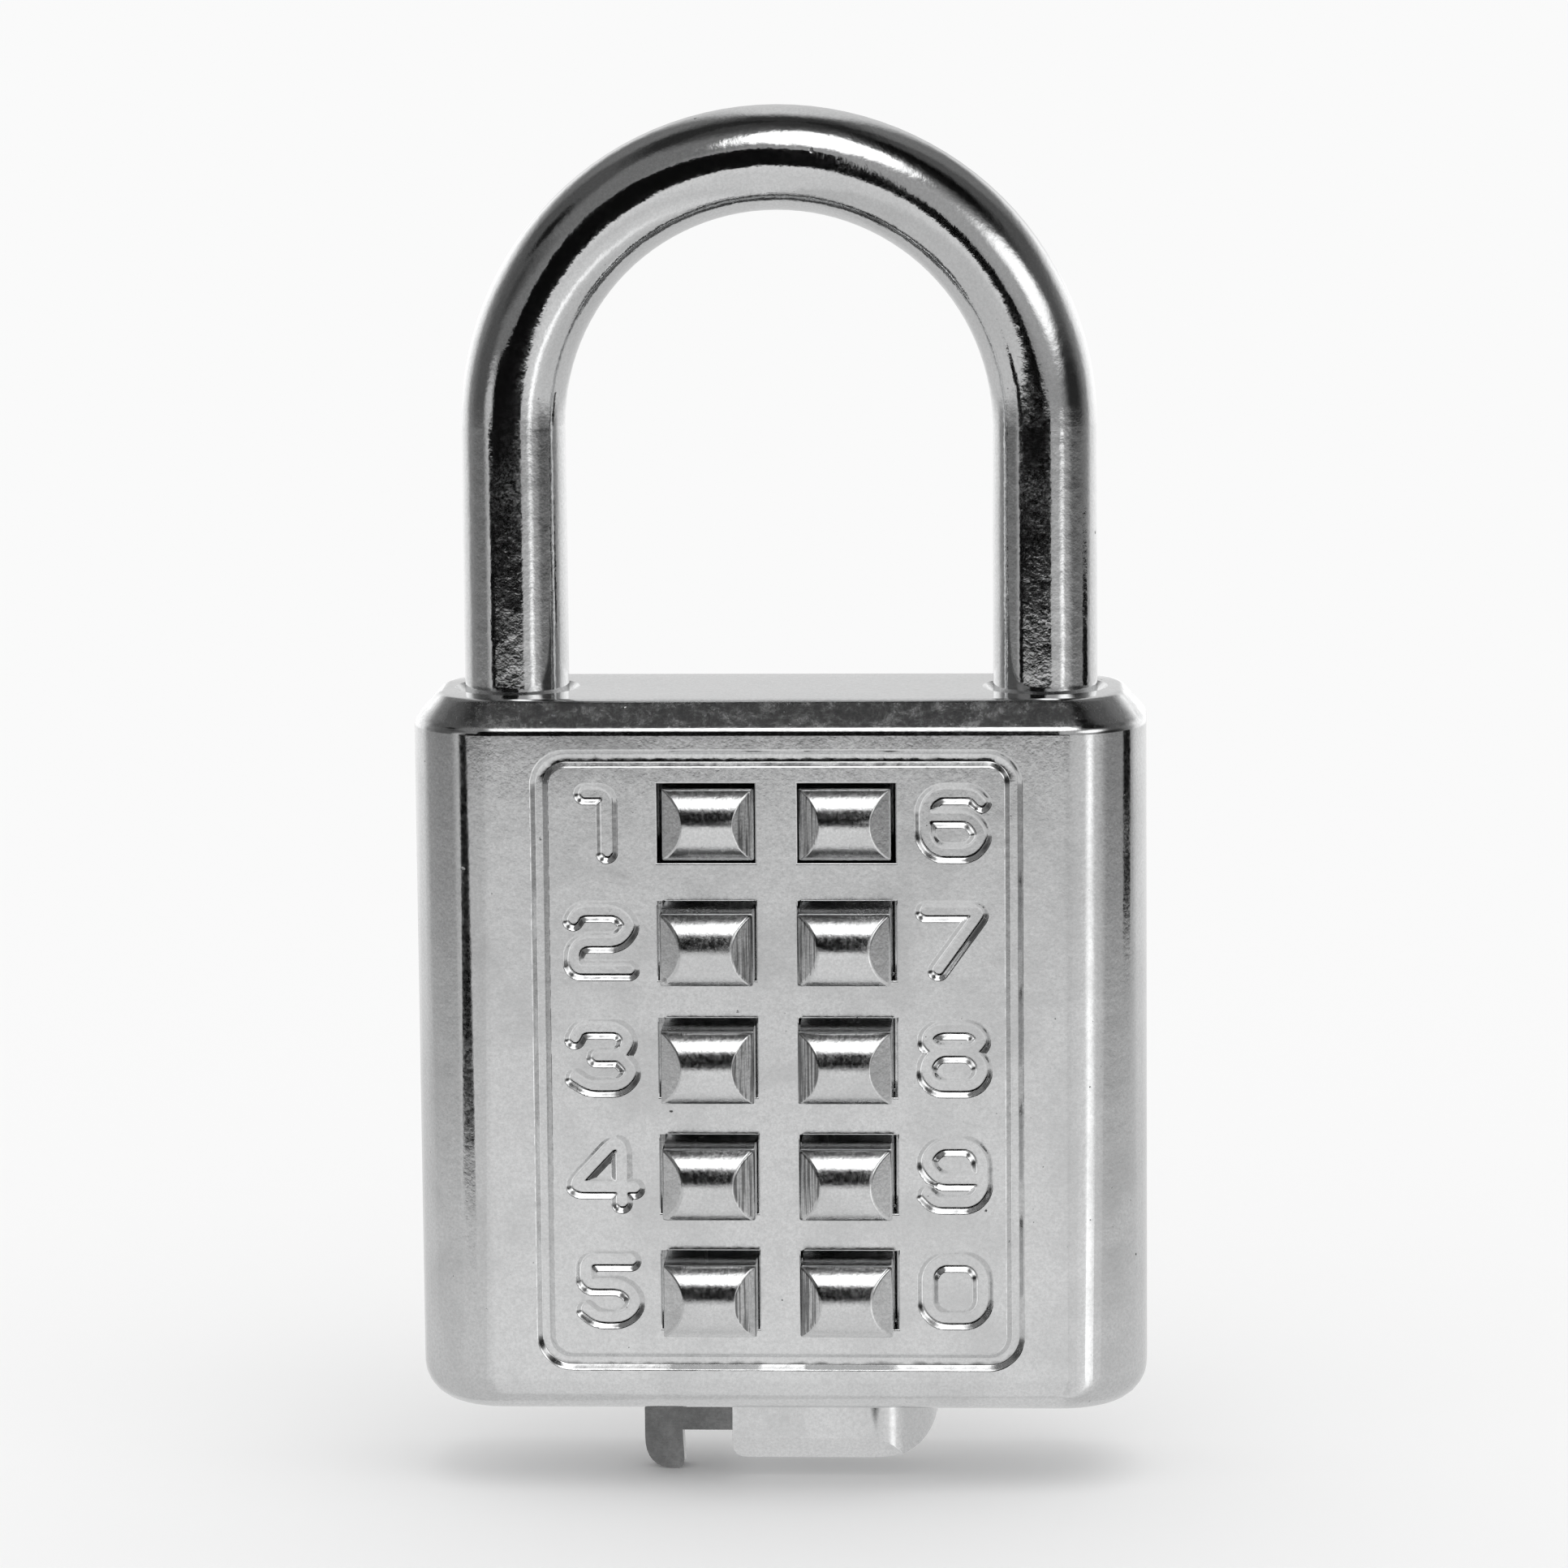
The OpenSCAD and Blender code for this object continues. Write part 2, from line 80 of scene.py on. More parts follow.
class Tree:
    """A thin wrapper that adds nodes to a node tree and joins them."""

    def __init__(self, tree):
        self.tree = tree
        tree.nodes.clear()

    def add(self, kind, **settings):
        node = self.tree.nodes.new(kind)
        for key, value in settings.items():
            setattr(node, key, value)
        return node

    def put(self, value, socket):
        if isinstance(value, bpy.types.NodeSocket):
            self.tree.links.new(value, socket)
        else:
            socket.default_value = value

    def math(self, operation, a, b=0.0, clamp=False):
        node = self.add("ShaderNodeMath", operation=operation, use_clamp=clamp)
        self.put(a, node.inputs[0])
        self.put(b, node.inputs[1])
        return node.outputs[0]

    def remap(self, value, low, high, to_low=0.0, to_high=1.0, smooth=True):
        node = self.add("ShaderNodeMapRange", interpolation_type="SMOOTHSTEP" if smooth else "LINEAR")
        self.put(value, node.inputs["Value"])
        for name, number in (("From Min", low), ("From Max", high), ("To Min", to_low), ("To Max", to_high)):
            self.put(number, node.inputs[name])
        return node.outputs["Result"]

    def mix(self, factor, a, b):
        """a where factor is 0 and b where it is 1, for plain numbers."""
        node = self.add("ShaderNodeMix", data_type="FLOAT")
        self.put(factor, node.inputs["Factor"])
        self.put(a, node.inputs["A"])
        self.put(b, node.inputs["B"])
        return node.outputs["Result"]

    def scaled(self, vector, x, y, z):
        node = self.add("ShaderNodeVectorMath", operation="MULTIPLY")
        self.put(vector, node.inputs[0])
        node.inputs[1].default_value = (x, y, z)
        return node.outputs[0]

    def noise(self, vector, scale, detail=2.0, roughness=0.5, distortion=0.0):
        node = self.add("ShaderNodeTexNoise")
        self.put(vector, node.inputs["Vector"])
        node.inputs["Scale"].default_value = scale
        node.inputs["Detail"].default_value = detail
        node.inputs["Roughness"].default_value = roughness
        node.inputs["Distortion"].default_value = distortion
        return node.outputs["Fac"]

    def warped(self, vector, scale, amount):
        """The same place shifted a little this way and that, so that round spots come out ragged."""
        node = self.add("ShaderNodeTexNoise")
        self.put(vector, node.inputs["Vector"])
        node.inputs["Scale"].default_value = scale
        node.inputs["Detail"].default_value = 3.0
        shift = self.add("ShaderNodeVectorMath", operation="MULTIPLY_ADD")
        self.put(node.outputs["Color"], shift.inputs[0])
        shift.inputs[1].default_value = (amount, amount, amount)
        self.put(vector, shift.inputs[2])
        return shift.outputs[0]

    def spots(self, vector, scale, size, keep):
        """Round spots of different sizes, 1 in the middle and 0 outside.
        keep is the share of cells that have one."""
        cell = self.add("ShaderNodeTexVoronoi", feature="F1")
        self.put(vector, cell.inputs["Vector"])
        cell.inputs["Scale"].default_value = scale
        parts = self.add("ShaderNodeSeparateColor")
        self.put(cell.outputs["Color"], parts.inputs[0])
        kept = self.math("LESS_THAN", parts.outputs[0], keep)
        radius = self.math("MULTIPLY", kept, self.remap(parts.outputs[1], 0, 1, 0.35 * size, size, False))
        inside = self.math("DIVIDE", cell.outputs["Distance"], self.math("ADD", radius, 1e-4))
        return self.remap(inside, 0.5, 1.0, 1.0, 0.0)


def chrome(name, shade=0.8, roughness=0.09, peel=1.0, grain=1.0, pits=1.0, cloud=1.0, lines=None, dull=0.0,
           stained=False, milled=False):
    """Plated metal. peel is the slow waviness of the casting and grain the fine one, pits are small dark
    pinholes, cloud is the patchy dulling, lines stretches fine tool marks along one axis, and dull adds
    the darker bloom of bare metal. stained puts worn patches on the slopes that face up, and milled cuts
    upright marks into the ends that face the middle of the keypad."""
    material = bpy.data.materials.new(name)
    material.use_nodes = True
    t = Tree(material.node_tree)
    place = t.scaled(t.add("ShaderNodeTexCoord").outputs["Object"], 1000, 1000, 1000)

    waves = t.noise(place, 0.42, 2.0, 0.45)
    ripple = t.noise(place, 1.7, 3.0, 0.6)
    fine = t.noise(place, 4.5, 3.0, 0.6)
    patches = t.noise(place, 0.21, 3.0, 0.55, 0.3)
    frosting = t.noise(place, 6.0, 4.0, 0.75)
    warped = t.warped(place, 1.6, 0.5)
    pinholes = t.spots(warped, 0.45, 0.1, 0.45)
    specks = t.spots(warped, 1.5, 0.09, 0.16)
    holes = t.math("MAXIMUM", pinholes, t.math("MULTIPLY", specks, 0.7))

    dulled = t.math("MULTIPLY", t.remap(patches, 0.45, 0.7), t.remap(frosting, 0.35, 0.65))
    tone = t.remap(frosting, 0.3, 0.7, shade * (1 - 0.11 * cloud), shade * (1 + 0.08 * cloud))
    tone = t.math("MULTIPLY", tone, t.remap(patches, 0.35, 0.7, 1.0, 1 - 0.07 * cloud))
    tone = t.math("MULTIPLY", tone, t.math("SUBTRACT", 1.0, t.math("MULTIPLY", holes, 0.8 * min(pits, 1))))
    if dull:
        tone = t.math("MULTIPLY", tone, t.remap(t.noise(place, 0.7, 5.0, 0.7), 0.3, 0.7, 1 - dull, 1.0))
    rough = t.remap(fine, 0.3, 0.7, roughness * 0.7, roughness * 1.3)
    rough = t.math("ADD", rough, t.math("MULTIPLY", dulled, 0.1 * cloud))
    rough = t.math("ADD", rough, t.math("MULTIPLY", holes, 0.3), clamp=True)
    if stained or milled:
        normal = t.add("ShaderNodeSeparateXYZ")
        t.put(t.add("ShaderNodeNewGeometry").outputs["True Normal"], normal.inputs[0])
    if stained:
        slope = t.math("MULTIPLY", t.remap(normal.outputs[2], 0.3, 0.5), t.remap(normal.outputs[2], 0.95, 0.8))
        stains = t.remap(t.noise(place, 0.9, 6.0, 0.75, 0.3), 0.38, 0.72)
        rough = t.math("ADD", rough, t.math("MULTIPLY", t.math("MULTIPLY", slope, stains), 0.22))
    if milled:
        spot = t.add("ShaderNodeSeparateXYZ")
        t.put(place, spot.inputs[0])
        inner = t.remap(t.math("MULTIPLY", normal.outputs[0], t.math("SIGN", spot.outputs[0])), -0.3, -0.45)
        marks = t.remap(t.noise(t.scaled(place, 5, 5, 0.15), 1.0, 3.0, 0.75), 0.42, 0.56, 0.35, 1.0)
        tone = t.mix(inner, tone, t.math("MULTIPLY", tone, marks))

    colour = t.add("ShaderNodeCombineColor")
    for i, tint in enumerate((0.995, 1.0, 1.003)):
        t.put(t.math("MULTIPLY", tone, tint), colour.inputs[i])

    # the reliefs, each with its height in millimetres
    bump = None
    layers = [
        (waves, 0.02 * peel), (ripple, 0.009 * peel), (fine, 0.0016 * grain),
        (t.math("SUBTRACT", 1.0, holes), 0.02 * pits),
    ]
    if lines:
        stretch, depth = lines
        layers.append((t.noise(t.scaled(place, *stretch), 1.0, 3.0, 0.7), depth))
    for height, depth in layers:
        if not depth:
            continue
        node = t.add("ShaderNodeBump")
        node.inputs["Strength"].default_value = 1.0
        node.inputs["Distance"].default_value = depth * MM
        t.put(height, node.inputs["Height"])
        if bump:
            t.put(bump, node.inputs["Normal"])
        bump = node.outputs[0]

    shader = t.add("ShaderNodeBsdfPrincipled")
    shader.inputs["Metallic"].default_value = 1.0
    t.put(colour.outputs[0], shader.inputs["Base Color"])
    t.put(rough, shader.inputs["Roughness"])
    t.put(bump, shader.inputs["Normal"])
    t.put(shader.outputs[0], t.add("ShaderNodeOutputMaterial").inputs[0])
    return material


def paint(obj, material):
    """Gives the object this material alone."""
    obj.data.materials.clear()
    obj.data.materials.append(material)


# ---------------------------------------------------------------- mesh helpers


def copy_of(node):
    """A bmesh of a CAD node with its doubled vertices joined."""
    bm = bmesh.new()
    bm.from_mesh(nodes[node].data)
    bmesh.ops.remove_doubles(bm, verts=bm.verts, dist=0.0005 * MM)
    return bm


def new_object(name, bm, body, slot, *replaced):
    """An object of the bmesh. With a body, it rides on that and replaces the CAD nodes named."""
    mesh = bpy.data.meshes.new(name)
    bm.to_mesh(mesh)
    bm.free()
    obj = bpy.data.objects.new(name, mesh)
    bpy.context.scene.collection.objects.link(obj)
    if body:
        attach(obj, body)
        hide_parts(*replaced)
    return obj


def smooth(obj, angle):
    """Smooth shading that keeps flat faces flat and leaves edges above the angle sharp."""
    mesh = obj.data
    bm = bmesh.new()
    bm.from_mesh(mesh)
    for edge in bm.edges:
        edge.smooth = len(edge.link_faces) != 2 or edge.calc_face_angle(0) <= math.radians(angle)
    for face in bm.faces:
        face.smooth = True
    bm.to_mesh(mesh)
    bm.free()
    weighted = obj.modifiers.new("weighted", "WEIGHTED_NORMAL")
    weighted.keep_sharp = True


def settle(obj):
    """Puts the result of the object's modifiers into its mesh."""
    bpy.context.view_layer.update()
    graph = bpy.context.evaluated_depsgraph_get()
    shaped = obj.evaluated_get(graph)
    mesh = bpy.data.meshes.new_from_object(shaped, preserve_all_data_layers=True, depsgraph=graph)
    obj.modifiers.clear()
    obj.data = mesh
    return mesh


def flatten_face(mesh, level):
    """Makes everything that meets the flat front face run smoothly into it."""
    count = len(mesh.loops)
    normals = np.zeros(count * 3, np.float32)
    mesh.corner_normals.foreach_get("vector", normals)
    normals = normals.reshape(-1, 3)
    corners = np.zeros(count, np.int32)
    mesh.loops.foreach_get("vertex_index", corners)
    heights = np.array([v.co.y for v in mesh.vertices])
    facing = np.zeros(count)
    for face in mesh.polygons:
        facing[face.loop_start:face.loop_start + face.loop_total] = -face.normal.y
    merged = (np.abs(heights[corners] - level) < 0.002 * MM) & (facing > 0.25)
    normals[merged] = (0, -1, 0)
    mesh.normals_split_custom_set([tuple(n) for n in normals])


def softened(node, name, body, slot, width, angle=25, segments=2):
    """A CAD node's shape with its edges worn round."""
    bm = copy_of(node)
    bmesh.ops.dissolve_limit(bm, angle_limit=math.radians(0.6), verts=bm.verts, edges=bm.edges)
    sharp = [e for e in bm.edges if len(e.link_faces) == 2 and e.calc_face_angle(0) > math.radians(angle)]
    bmesh.ops.bevel(
        bm, geom=sharp, offset=width, offset_type="OFFSET", segments=segments, profile=0.5,
        affect="EDGES", clamp_overlap=True,
    )
    obj = new_object(name, bm, body, slot, node)
    smooth(obj, 40)
    return obj


# ---------------------------------------------------------------- the engraving


STROKES = {
    "1": [[(-0.54, 1), (0.25, 1), (0.25, -1)]],
    "2": [[(-1, 0.7), (-0.8, 1), (0.6, 1), (1, 0.65), (1, 0.35), (0.6, -0.05), (-0.7, -0.05),
           (-1, -0.35), (-1, -1), (1, -1)]],
    "3": [[(-1, 0.65), (-0.8, 1), (0.6, 1), (0.9, 0.7), (0.9, 0.4), (0.6, 0.02), (-0.2, 0.02)],
          [(0.5, 0.02), (0.6, 0.02), (1, -0.35), (1, -0.65), (0.6, -1), (-0.5, -1), (-1, -0.7)]],
    "4": [[(0.64, -1), (0.64, 1), (0.3, 1), (-1, -0.3), (-1, -0.5), (1.1, -0.5)]],
    "5": [[(0.93, 1), (-0.7, 1), (-0.7, 0.15), (0.6, 0.15), (1.05, -0.2), (1.05, -0.65), (0.6, -1),
           (-0.3, -1), (-0.7, -0.7)]],
    "6": [[(1, 0.7), (0.7, 1), (-0.6, 1), (-1, 0.6), (-1, -0.55), (-0.6, -1), (0.6, -1), (1, -0.6),
           (1, -0.25), (0.6, 0.2), (-1, 0.2)]],
    "7": [[(-1, 1), (1, 1), (-0.55, -1)]],
    "8": [[(0, 0.2), (-0.6, 0.2), (-0.95, 0.45), (-0.95, 0.75), (-0.6, 1), (0.6, 1), (0.95, 0.75),
           (0.95, 0.45), (0.6, 0.2), (0, 0.2)],
          [(0, 0.2), (-0.6, 0.2), (-1, -0.2), (-1, -0.65), (-0.65, -1), (0.65, -1), (1, -0.65), (1, -0.2),
           (0.6, 0.2), (0, 0.2)]],
    "0": [[(0, 1), (0.6, 1), (1, 0.6), (1, -0.6), (0.6, -1), (-0.6, -1), (-1, -0.6), (-1, 0.6),
           (-0.6, 1), (0, 1)]],
}
STROKES["9"] = [[(-x, -z) for x, z in STROKES["6"][0]]]
# The measures of the engraving, in millimetres. NUMBER_HALF is half a number's width and height between
# the middles of its strokes, NUMBER_X how far it is from the middle of the case, NUMBER_RADIUS the bend of
# its strokes, and OPENING_RISE how far openings and numbers sit above the middles of the buttons.
NUMBER_HALF = (1.58, 1.7)
NUMBER_X = 10.05
NUMBER_RADIUS = 0.5
OPENING_RISE = 0.1
FRAME_WIDTH = 27
FRAME_MARGIN = 3.2
FRAME_RADIUS = 1.5
# Half the width of a groove at the face, and its wall from the floor up: the width of the curve at its
# foot, of its straight part and of the rounded lip, and how steep it is
NUMBER_GROOVE = (0.7, 0.06, 0.22, 0.13, 0.7)
FRAME_GROOVE = (0.62, 0.06, 0.18, 0.2, 0.8)
# How far a cutter stands out past the face beside its groove, how far the cutters reach in front of it,
# how finely a number's cutter is divided, and how many swings to the millimetre a worn edge has
LIP = 0.012
CUTTER_FRONT = 0.5
NUMBER_STEP = 0.075
WORN_SCALE = 2.6
# How far the front edge of an opening is worn away
OPENING_WEAR = 0.09

# The case's outline: its corners, the chamfer round the CAD's foot, and the round edge that replaces it
CORNER_RADIUS = 5
CHAMFER_WIDTH = 1.45
CHAMFER_HEIGHT = 1.6
FOOT_RADIUS = 2.3


def rounded_path(points, radius):
    """The polyline with each corner turned into a short curve."""
    path = [np.array(points[0], float)]
    for a, p, b in zip(points, points[1:], points[2:]):
        a, p, b = (np.array(q, float) for q in (a, p, b))
        before, after = a - p, b - p
        cut_before = min(radius, 0.49 * np.linalg.norm(before))
        cut_after = min(radius, 0.49 * np.linalg.norm(after))
        start = p + before / np.linalg.norm(before) * cut_before
        end = p + after / np.linalg.norm(after) * cut_after
        for i in range(6):
            s = i / 5
            path.append(start * (1 - s) ** 2 + 2 * p * s * (1 - s) + end * s * s)
    path.append(np.array(points[-1], float))
    return path


def groove(distance, shape):
    """The cutter's height above the face, at a distance from the middle of a groove."""
    half, foot, straight, lip, slope = shape
    d = np.asarray(distance, float) - (half - foot - straight - lip)
    in_foot = np.clip(d, 0, foot)
    in_straight = np.clip(d - foot, 0, straight)
    in_lip = np.clip(d - foot - straight, 0, lip)
    rise = slope * (in_foot ** 2 / (2 * foot) + in_straight + in_lip - in_lip ** 2 / (2 * lip))
    return rise - slope * (foot / 2 + straight + lip / 2) + LIP


def number_cutter(bm, name, x, z):
    """A block in front of the face whose back is pushed in along the number's strokes."""
    step = NUMBER_STEP
    reach = [half * 1.1 + NUMBER_GROOVE[0] + 2 * step for half in NUMBER_HALF]
    us = np.arange(-reach[0], reach[0] + step, step)
    vs = np.arange(-reach[1], reach[1] + step, step)
    grid_u, grid_v = np.meshgrid(us, vs, indexing="ij")
    distance = np.full(grid_u.shape, 9.0)
    for stroke in STROKES[name]:
        points = [(u * NUMBER_HALF[0], v * NUMBER_HALF[1]) for u, v in stroke]
        path = rounded_path(points, NUMBER_RADIUS)
        for a, b in zip(path, path[1:]):
            along = b - a
            s = ((grid_u - a[0]) * along[0] + (grid_v - a[1]) * along[1]) / max(along @ along, 1e-12)
            s = np.clip(s, 0, 1)
            away = np.hypot(grid_u - a[0] - s * along[0], grid_v - a[1] - s * along[1])
            distance = np.minimum(distance, away)
    worn = [[noise.noise(Vector((x / MM + u, v, z / MM)) * WORN_SCALE) for v in vs] for u in us]
    height = groove(distance + 0.008 * np.array(worn), NUMBER_GROOVE)
    last_i, last_j = len(us) - 1, len(vs) - 1
    back = [[bm.verts.new((x + u * MM, FACE_Y - height[i, j] * MM, z + v * MM)) for j, v in enumerate(vs)]
            for i, u in enumerate(us)]
    front_y = FACE_Y - CUTTER_FRONT * MM
    corner = [[bm.verts.new((x + us[i] * MM, front_y, z + vs[j] * MM)) for j in (0, last_j)]
              for i in (0, last_i)]
    for i in range(last_i):
        for j in range(last_j):
            bm.faces.new((back[i][j], back[i][j + 1], back[i + 1][j + 1], back[i + 1][j]))
    bm.faces.new((corner[0][0], corner[1][0], corner[1][1], corner[0][1]))
    bm.faces.new([corner[0][0], corner[0][1]] + [back[0][j] for j in range(last_j, -1, -1)])
    bm.faces.new([corner[1][1], corner[1][0]] + [back[last_i][j] for j in range(last_j + 1)])
    bm.faces.new([corner[1][0], corner[0][0]] + [back[i][0] for i in range(last_i + 1)])
    bm.faces.new([corner[0][1], corner[1][1]] + [back[i][last_j] for i in range(last_i, -1, -1)])


def loop_points(width, height, radius, middle_z):
    """A rounded rectangle as closely spaced points with their outward directions."""
    corners = []
    for sx, sz, start in ((1, 1, 0), (-1, 1, 90), (-1, -1, 180), (1, -1, 270)):
        for k in range(13):
            angle = math.radians(start + 90 * k / 12)
            out = Vector((math.cos(angle), 0, math.sin(angle)))
            centre = Vector((sx * (width / 2 - radius), 0, middle_z + sz * (height / 2 - radius)))
            corners.append((centre + radius * out, out))
    found = []
    for (a, out_a), (b, out_b) in zip(corners, corners[1:] + corners[:1]):
        steps = max(1, round((b - a).length / (0.22 * MM)))
        found += [(a.lerp(b, k / steps), out_a.lerp(out_b, k / steps).normalized()) for k in range(steps)]
    return found


def frame_cutter(bm, width, height, radius, middle_z):
    """A ring in front of the face that cuts the groove round the keypad."""
    half, foot, straight, lip, _ = FRAME_GROOVE
    floor = half - foot - straight - lip
    out_steps = [floor + foot * k / 3 for k in range(4)] + [floor + foot + straight]
    out_steps += [floor + foot + straight + lip * k / 7 for k in range(1, 8)]
    reach = [-d for d in reversed(out_steps)] + out_steps
    rings = []
    for point, out in loop_points(width, height, radius, middle_z):
        section = [(-1.0, -CUTTER_FRONT)]
        for d in reach:
            here = point + out * d * MM
            worn = noise.noise(Vector((here.x, 0, here.z)) / MM * WORN_SCALE) if abs(d) > floor else 0
            section.append((d, -float(groove(abs(d), FRAME_GROOVE)) + 0.004 * worn))
        section.append((1.0, -CUTTER_FRONT))
        rings.append([bm.verts.new((point.x + out.x * d * MM, FACE_Y + y * MM, point.z + out.z * d * MM))
                      for d, y in section])
    for a, b in zip(rings, rings[1:] + rings[:1]):
        for k in range(len(section)):
            n = (k + 1) % len(section)
            bm.faces.new((a[k], a[n], b[n], b[k]))


def opening_cutter(bm, low, high):
    """A short frustum that wears the front edge of an opening round."""
    wear = OPENING_WEAR * MM
    levels = [(FACE_Y - 0.3 * MM, 0.3 * MM + wear), (FACE_Y + wear, 0.0), (FACE_Y + 2.5 * wear, -0.02 * MM)]
    rings = []
    for y, grow in levels:
        rings.append([bm.verts.new((x, y, z)) for x, z in (
            (low.x - grow, low.z - grow), (high.x + grow, low.z - grow),
            (high.x + grow, high.z + grow), (low.x - grow, high.z + grow))])
    for a, b in zip(rings, rings[1:]):
        for k in range(4):
            bm.faces.new((a[k], a[(k + 1) % 4], b[(k + 1) % 4], b[k]))
    bm.faces.new(rings[0])
    bm.faces.new(list(reversed(rings[-1])))


def plain_front(bm):
    """Takes the CAD's straight-walled engraving away and closes the face with a flat one.
    Returns the openings as pairs of corners."""
    depth = 0.6 * MM
    gone = [f for f in bm.faces if all(v.co.y < FACE_Y + depth for v in f.verts)
            and (abs(f.normal.y + 1) < 1e-3 or max(abs(v.co.x) for v in f.verts) < case_high.x - 5.4 * MM)
            and max(v.co.z for v in f.verts) < CASE_TOP - 1.2 * MM
            and min(v.co.z for v in f.verts) > case_low.z + 1.2 * MM]
    bmesh.ops.delete(bm, geom=gone, context="FACES")
    edges = [e for e in bm.edges if e.is_boundary]
    loops, seen = [], set()
    for edge in edges:
        if edge in seen:
            continue
        stack, loop = [edge], set()
        while stack:
            e = stack.pop()
            if e in seen:
                continue
            seen.add(e)
            loop.update(e.verts)
            stack += [n for v in e.verts for n in v.link_edges if n.is_boundary and n not in seen]
        loops.append(loop)
    bmesh.ops.triangle_fill(bm, edges=edges, use_beauty=True, use_dissolve=False, normal=(0, -1, 0))
    bmesh.ops.recalc_face_normals(bm, faces=bm.faces)
    found = []
    for loop in loops:
        low = Vector([min(v.co[k] for v in loop) for k in range(3)])
        high = Vector([max(v.co[k] for v in loop) for k in range(3)])
        if high.x - low.x < 10 * MM:
            found.append((low, high))
    return found


def round_foot(bm):
    """Turns the chamfer round the case's foot into a round edge."""
    radius, corner, steps = FOOT_RADIUS * MM, CORNER_RADIUS * MM, 6
    middle = (case_low + case_high) / 2
    half = (case_high - case_low) / 2
    for k in range(1, steps + 1):
        level = case_low.z + radius * (1 - math.cos(math.pi / 2 * k / steps))
        bmesh.ops.bisect_plane(bm, geom=bm.verts[:] + bm.edges[:] + bm.faces[:], dist=0.001 * MM,
                               plane_co=(0, 0, level), plane_no=(0, 0, 1))
    for v in bm.verts:
        height = v.co.z - case_low.z
        if height > radius + 0.001 * MM:
            continue
        out = Vector((abs(v.co.x - middle.x) - half.x + corner, abs(v.co.y - middle.y) - half.y + corner))
        if min(out) > 0:
            inset, way = corner - out.length, out.normalized()
        else:
            inset, way = corner - max(out), Vector((1, 0) if out.x > out.y else (0, 1))
        chamfer = max(0.0, 1 - height / (CHAMFER_HEIGHT * MM)) * CHAMFER_WIDTH * MM
        if abs(inset - chamfer) > 0.5 * MM:
            continue
        grow = inset - radius + math.sqrt(max(0.0, radius ** 2 - (radius - height) ** 2))
        v.co.x += grow * way.x * (1 if v.co.x > middle.x else -1)
        v.co.y += grow * way.y * (1 if v.co.y > middle.y else -1)


def engraved_case():
    """The case with worn grooves for the numbers and the frame, worn openings and a round foot."""
    bm = copy_of("case_body")
    openings = plain_front(bm)
    round_foot(bm)
    case = new_object("case_casting", bm, "case", "case_chrome", "case_body")
    cut = bmesh.new()
    for name in NAMES:
        low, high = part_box("button_" + name)
        side = -1 if (low.x + high.x) < 0 else 1
        number_cutter(cut, name, side * NUMBER_X * MM, (low.z + high.z) / 2 + OPENING_RISE * MM)
    frame_height = CASE_H - 2 * FRAME_MARGIN * MM
    frame_cutter(cut, FRAME_WIDTH * MM, frame_height, FRAME_RADIUS * MM, CASE_TOP - CASE_H / 2)
    for low, high in openings:
        opening_cutter(cut, low, high)
    bmesh.ops.recalc_face_normals(cut, faces=cut.faces)
    cutter = new_object("cutter", cut, None, None)
    boolean = case.modifiers.new("engraving", "BOOLEAN")
    boolean.operation = "DIFFERENCE"
    boolean.solver = "MANIFOLD"
    boolean.object = cutter
    settle(case)
    bpy.data.objects.remove(cutter)
    smooth(case, 40)
    mesh = settle(case)
    flatten_face(mesh, FACE_Y)
    print("case casting:", len(openings), "openings,", len(mesh.polygons), "faces")
    return case


# ---------------------------------------------------------------- materials and pieces


case_metal = chrome("case_chrome", 0.8, 0.1, peel=0.4, stained=True)
button_metal = chrome("button_chrome", 0.8, 0.17, peel=0.8, grain=2.5, pits=0.3, lines=((9, 9, 0.3), 0.003),
                      milled=True)
shackle_metal = chrome("shackle_chrome", 0.76, 0.08, peel=1.1, grain=1.6, pits=0.8, cloud=0.8)
cover_metal = chrome("cover_chrome", 0.78, 0.13, peel=0.6, grain=1.0, pits=0.8, lines=((0.3, 8, 8), 0.0015))
thumb_metal = chrome("thumb_chrome", 0.8, 0.13, peel=0.4, grain=0.8, pits=0.4)
# The latch bar is darker steel in itself, and its tone is set darker still as painted shade for the shadow it
# stands in under the case.
latch_steel_and_painted_shade = chrome("latch_steel", 0.25, 0.2, peel=0.5, grain=1.2, pits=0.5,
                     lines=((0.4, 9, 9), 0.004), dull=0.3)
screw_metal = chrome("screw_steel", 0.62, 0.2, peel=0.1, grain=1.0, pits=0.2, lines=((0.5, 0.5, 9), 0.003))
plain_metal = chrome("plain_steel", 0.5, 0.3, peel=0.3, grain=1.5, pits=0.5, dull=0.25)
spring_metal = chrome("spring_steel", 0.6, 0.2, peel=0.0, grain=1.0, pits=0.0, dull=0.15)
bolt_metal = chrome("bolt_brass", 0.6, 0.25, peel=0.2, grain=1.2, pits=0.3, dull=0.1)

case = engraved_case()
paint(case, case_metal)
for name in NAMES:
    body = "button_" + name
    paint(softened(body, "key_" + name, body, "button_chrome", 0.13 * MM), button_metal)
paint(softened("thumb_piece", "thumb_slide", "latch", "thumb_chrome", 0.3 * MM, 22, 3), thumb_metal)

for node, material in {
    "shackle": shackle_metal, "back_cover": cover_metal, "cover_screws": screw_metal, "latch_bar": latch_steel_and_painted_shade,
    "heel_pin": plain_metal, "guide_plate": plain_metal, "lock_plate": plain_metal, "locking_bolt": bolt_metal,
    "shackle_spring": spring_metal, "latch_spring": spring_metal,
}.items():
    paint(nodes[node], material)
for name in NAMES:
    paint(nodes["button_spring_" + name], spring_metal)


# ---------------------------------------------------------------- floor, light and camera


